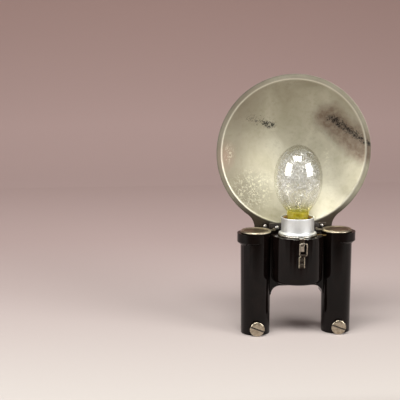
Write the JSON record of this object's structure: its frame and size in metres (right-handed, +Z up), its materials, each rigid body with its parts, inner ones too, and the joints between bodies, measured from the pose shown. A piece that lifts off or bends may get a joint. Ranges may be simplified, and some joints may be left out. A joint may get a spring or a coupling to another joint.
{
  "type": "flash bulb gun",
  "caption": "Two-legged battery holder with a hinged cover that carries a screw socket, a clear flash bulb and a round dished reflector, fixed by two slotted screws.",
  "frame": {"origin": "middle of the footprint box, on the plane that the two leg bottoms stand on", "axes": "+X to the viewer's right seen from the front, +Y from the bulb towards the reflector, +Z up along the legs; the front faces -Y"},
  "size_m": [0.156, 0.0826, 0.2572],
  "materials": {
    "bakelite": "dark brown-black Bakelite, moulded gloss with fine scratches",
    "fibre": "black vulcanised fibre",
    "brass": "tarnished brass",
    "steel": "plated steel, worn",
    "aluminium": "oxidised satin aluminium",
    "plated": "dulled nickel plate",
    "glass": "clear blown glass",
    "amber": "amber basing cement seen in the neck",
    "foil": "crumpled aluminium foil",
    "paper": "printed card jacket with no lettering"
  },
  "bodies": {
    "root": {"body_shell": "bakelite", "terminal_bushing_left": "brass", "contact_plate_left": "brass", "battery_spring_left": "steel", "battery_cell_left": "paper", "battery_tip_left": "brass", "terminal_bushing_right": "brass", "contact_plate_right": "brass", "battery_spring_right": "steel", "battery_cell_right": "paper", "battery_tip_right": "brass", "latch_keeper": "steel", "keeper_rivet_1": "steel", "keeper_rivet_2": "steel", "hinge_leaf_lower": "steel", "hinge_screw_left": "steel", "hinge_screw_right": "steel", "hinge_pin": "steel"},
    "cover": {"hinge_leaf_upper": "steel", "insulating_bridge": "fibre", "flange_ring": "plated", "socket_collar": "aluminium", "socket_sleeve": "fibre", "socket_shell": "brass", "socket_floor": "fibre", "centre_contact": "brass", "lead_strip": "brass", "reflector": "aluminium", "reflector_rivet_1": "steel", "reflector_rivet_2": "steel", "reflector_rivet_3": "steel", "reflector_rivet_4": "steel", "battery_cap_left": "plated", "cap_washer_left": "fibre", "cap_contact_left": "brass", "battery_cap_right": "plated", "cap_washer_right": "fibre", "cap_contact_right": "brass"},
    "bulb_lift": {"base_insulator": "fibre"},
    "bulb_turn": {"base_shell": "brass", "base_contact": "brass", "bulb_glass": "glass", "foil_fill": "foil", "glass_stem": "amber"},
    "latch_bail": {"latch_bail": "steel"},
    "terminal_left_slide": {"terminal_washer_left": "steel"},
    "terminal_left_turn": {"terminal_screw_left": "brass"},
    "terminal_right_slide": {"terminal_washer_right": "steel"},
    "terminal_right_turn": {"terminal_screw_right": "brass"}
  },
  "joints": [
    {"name": "cover_hinge", "type": "hinge", "parent": "root", "child": "cover", "pos_m": [0, 0.01375, 0.0986], "axis": [-1, 0, 0], "range_deg": [0, 100]},
    {"name": "bulb_turn", "type": "hinge", "parent": "bulb_lift", "child": "bulb_turn", "pos_m": [0, -0.01118, 0.1], "axis": [0, 0, 1], "range_deg": [0, 2160]},
    {"name": "bulb_lift", "type": "slide", "parent": "cover", "child": "bulb_lift", "axis": [0, 0, 1], "range_m": [0, 0.0225]},
    {"name": "latch_bail_swing", "type": "hinge", "parent": "root", "child": "latch_bail", "pos_m": [0, -0.03945, 0.085], "axis": [1, 0, 0], "range_deg": [0, 150]},
    {"name": "terminal_left_slide", "type": "slide", "parent": "root", "child": "terminal_left_slide", "axis": [0, -1, 0], "range_m": [0, 0.0067]},
    {"name": "terminal_left_turn", "type": "hinge", "parent": "terminal_left_slide", "child": "terminal_left_turn", "pos_m": [-0.041, -0.00485, 0.0075], "axis": [0, -1, 0], "range_deg": [0, 3600]},
    {"name": "terminal_right_slide", "type": "slide", "parent": "root", "child": "terminal_right_slide", "axis": [0, -1, 0], "range_m": [0, 0.0067]},
    {"name": "terminal_right_turn", "type": "hinge", "parent": "terminal_right_slide", "child": "terminal_right_turn", "pos_m": [0.041, -0.00485, 0.0075], "axis": [0, -1, 0], "range_deg": [0, 3600]}
  ],
  "couplings": [
    {"joint": "bulb_lift", "follows": "bulb_turn", "m_per_rad": 0.0005776}
  ]
}
